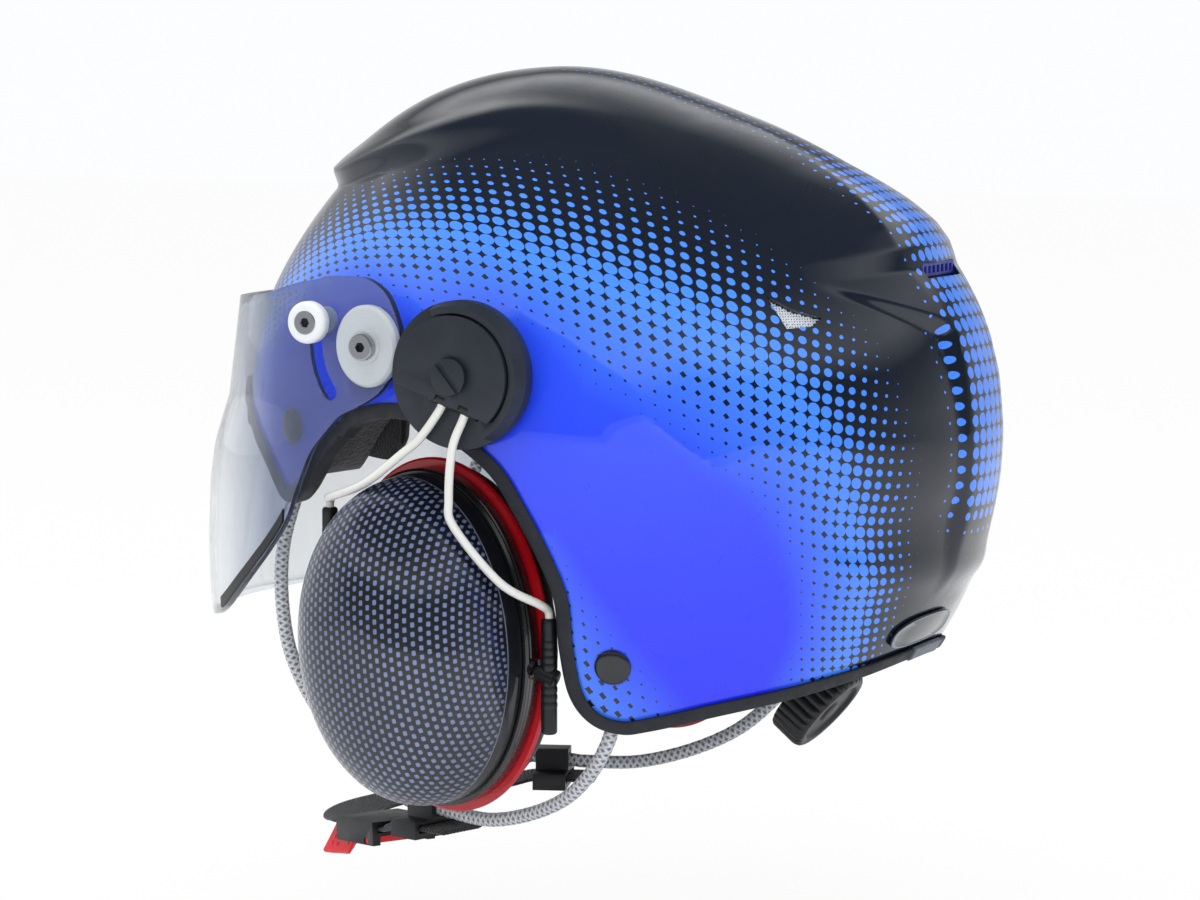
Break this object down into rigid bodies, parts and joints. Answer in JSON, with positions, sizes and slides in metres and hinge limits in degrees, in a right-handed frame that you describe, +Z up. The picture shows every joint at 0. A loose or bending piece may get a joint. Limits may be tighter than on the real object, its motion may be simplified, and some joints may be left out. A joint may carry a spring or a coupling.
{
  "type": "skydiving helmet",
  "caption": "Open-face skydiving helmet with a tilting clear visor, flip-up ear cups on wire yokes, corded chin strap with red tab and nape dial.",
  "frame": {"origin": "middle of the head cavity, level with the wearer's brow", "axes": "+Z up, the wearer looks along -Y, the wearer's left is +X"},
  "size_m": [0.2882, 0.285, 0.2742],
  "materials": {
    "shell_blue": "gloss",
    "liner_grey": "matte",
    "pad_black": "matte",
    "trim_black": "matte",
    "sleeve_grey": "matte",
    "badge_black": "gloss",
    "mesh_pale": "satin",
    "vent_blue": "gloss",
    "rivet_black": "satin",
    "rivet_steel": "satin",
    "lens_clear": "gloss",
    "strip_black": "satin",
    "disc_grey": "satin",
    "boss_black": "matte",
    "knob_white": "satin",
    "mount_black": "matte",
    "wire_white": "gloss",
    "arm_black": "satin",
    "cup_weave": "gloss",
    "cup_black": "gloss",
    "cup_red": "gloss",
    "cushion_black": "satin",
    "foam_grey": "matte",
    "cord_silver": "satin",
    "webbing_black": "matte",
    "buckle_black": "satin",
    "lever_red": "satin",
    "cradle_black": "satin"
  },
  "bodies": {
    "helmet": {"outer_shell": "shell_blue", "eps_liner": "liner_grey", "brow_pad": "pad_black", "crown_pad": "pad_black", "left_cheek_pad": "pad_black", "right_cheek_pad": "pad_black", "edge_trim": "trim_black", "trim_sleeve": "sleeve_grey", "size_badge": "badge_black", "side_vent_meshes": "mesh_pale", "rear_vent_grille": "vent_blue", "strap_rivets": "rivet_black", "visor_pivot_bosses": "boss_black", "visor_pivot_screws": "rivet_steel", "visor_guide_knobs": "knob_white", "left_mount_base": "mount_black", "left_mount_screw": "mount_black", "right_mount_base": "mount_black", "right_mount_screw": "mount_black", "cord_anchors": "boss_black", "left_strap_cord": "cord_silver", "right_strap_cord": "cord_silver", "strap_slides": "buckle_black", "left_chin_strap": "webbing_black", "right_chin_strap": "webbing_black", "buckle_body": "buckle_black", "buckle_ratchet": "buckle_black", "cradle_guides": "cradle_black"},
    "visor": {"visor_lens": "lens_clear", "visor_edge_strips": "strip_black", "visor_pivot_discs": "disc_grey"},
    "lever": {"buckle_lever": "lever_red"},
    "cradle": {"nape_cradle": "cradle_black", "nape_pad": "pad_black"},
    "dial": {"nape_dial": "cradle_black"},
    "left_turner": {"left_rotor": "mount_black"},
    "left_yoke": {"left_yoke_wires": "wire_white"},
    "left_slider": {"left_arm_sleeves": "arm_black"},
    "left_cup": {"left_cup_cover": "cup_weave", "left_cup_base": "cup_black", "left_cup_ring": "cup_red", "left_ear_cushion": "cushion_black", "left_ear_foam": "foam_grey", "left_speaker": "boss_black"},
    "right_turner": {"right_rotor": "mount_black"},
    "right_yoke": {"right_yoke_wires": "wire_white"},
    "right_slider": {"right_arm_sleeves": "arm_black"},
    "right_cup": {"right_cup_cover": "cup_weave", "right_cup_base": "cup_black", "right_cup_ring": "cup_red", "right_ear_cushion": "cushion_black", "right_ear_foam": "foam_grey", "right_speaker": "boss_black"}
  },
  "joints": [
    {"name": "visor_tilt", "type": "hinge", "parent": "helmet", "child": "visor", "pos_m": [0, -0.042, 0.025], "axis": [-1, 0, 0], "range_deg": [0, 55]},
    {"name": "left_muff_swing", "type": "hinge", "parent": "helmet", "child": "left_turner", "pos_m": [0.10604, -0.005, 0.0175], "axis": [1, 0, 0], "range_deg": [-5, 0.5]},
    {"name": "left_muff_flip", "type": "hinge", "parent": "left_turner", "child": "left_yoke", "pos_m": [0.11924, -0.00781, 0.00979], "axis": [0, -0.9397, 0.342], "range_deg": [0, 32]},
    {"name": "left_cup_slide", "type": "slide", "parent": "left_yoke", "child": "left_slider", "axis": [0, 0, -1], "range_m": [0, 0.006]},
    {"name": "left_cup_tilt", "type": "hinge", "parent": "left_slider", "child": "left_cup", "pos_m": [0.09766, 0.01817, -0.0811], "axis": [-0.0983, -0.9353, 0.3399], "range_deg": [-5, 5]},
    {"name": "right_muff_swing", "type": "hinge", "parent": "helmet", "child": "right_turner", "pos_m": [-0.10604, -0.005, 0.0175], "axis": [1, 0, 0], "range_deg": [-5, 0.5]},
    {"name": "right_muff_flip", "type": "hinge", "parent": "right_turner", "child": "right_yoke", "pos_m": [-0.11924, -0.00781, 0.00979], "axis": [0, 0.9397, -0.342], "range_deg": [0, 32]},
    {"name": "right_cup_slide", "type": "slide", "parent": "right_yoke", "child": "right_slider", "axis": [0, 0, -1], "range_m": [0, 0.006]},
    {"name": "right_cup_tilt", "type": "hinge", "parent": "right_slider", "child": "right_cup", "pos_m": [-0.09766, 0.01817, -0.0811], "axis": [-0.0983, 0.9353, -0.3399], "range_deg": [-5, 5]},
    {"name": "buckle_open", "type": "hinge", "parent": "helmet", "child": "lever", "pos_m": [0.04105, -0.06802, -0.15182], "axis": [0.8542, -0.5199, 0], "range_deg": [0, 35]},
    {"name": "cradle_draw", "type": "slide", "parent": "helmet", "child": "cradle", "axis": [0, -1, 0], "range_m": [0, 0.01]},
    {"name": "dial_turn", "type": "hinge", "parent": "cradle", "child": "dial", "pos_m": [0, 0.073, -0.1], "axis": [0, 0.766, -0.6428], "range_deg": [0, 344]}
  ],
  "couplings": [
    {"joint": "dial_turn", "follows": "cradle_draw", "rad_per_m": 600}
  ]
}
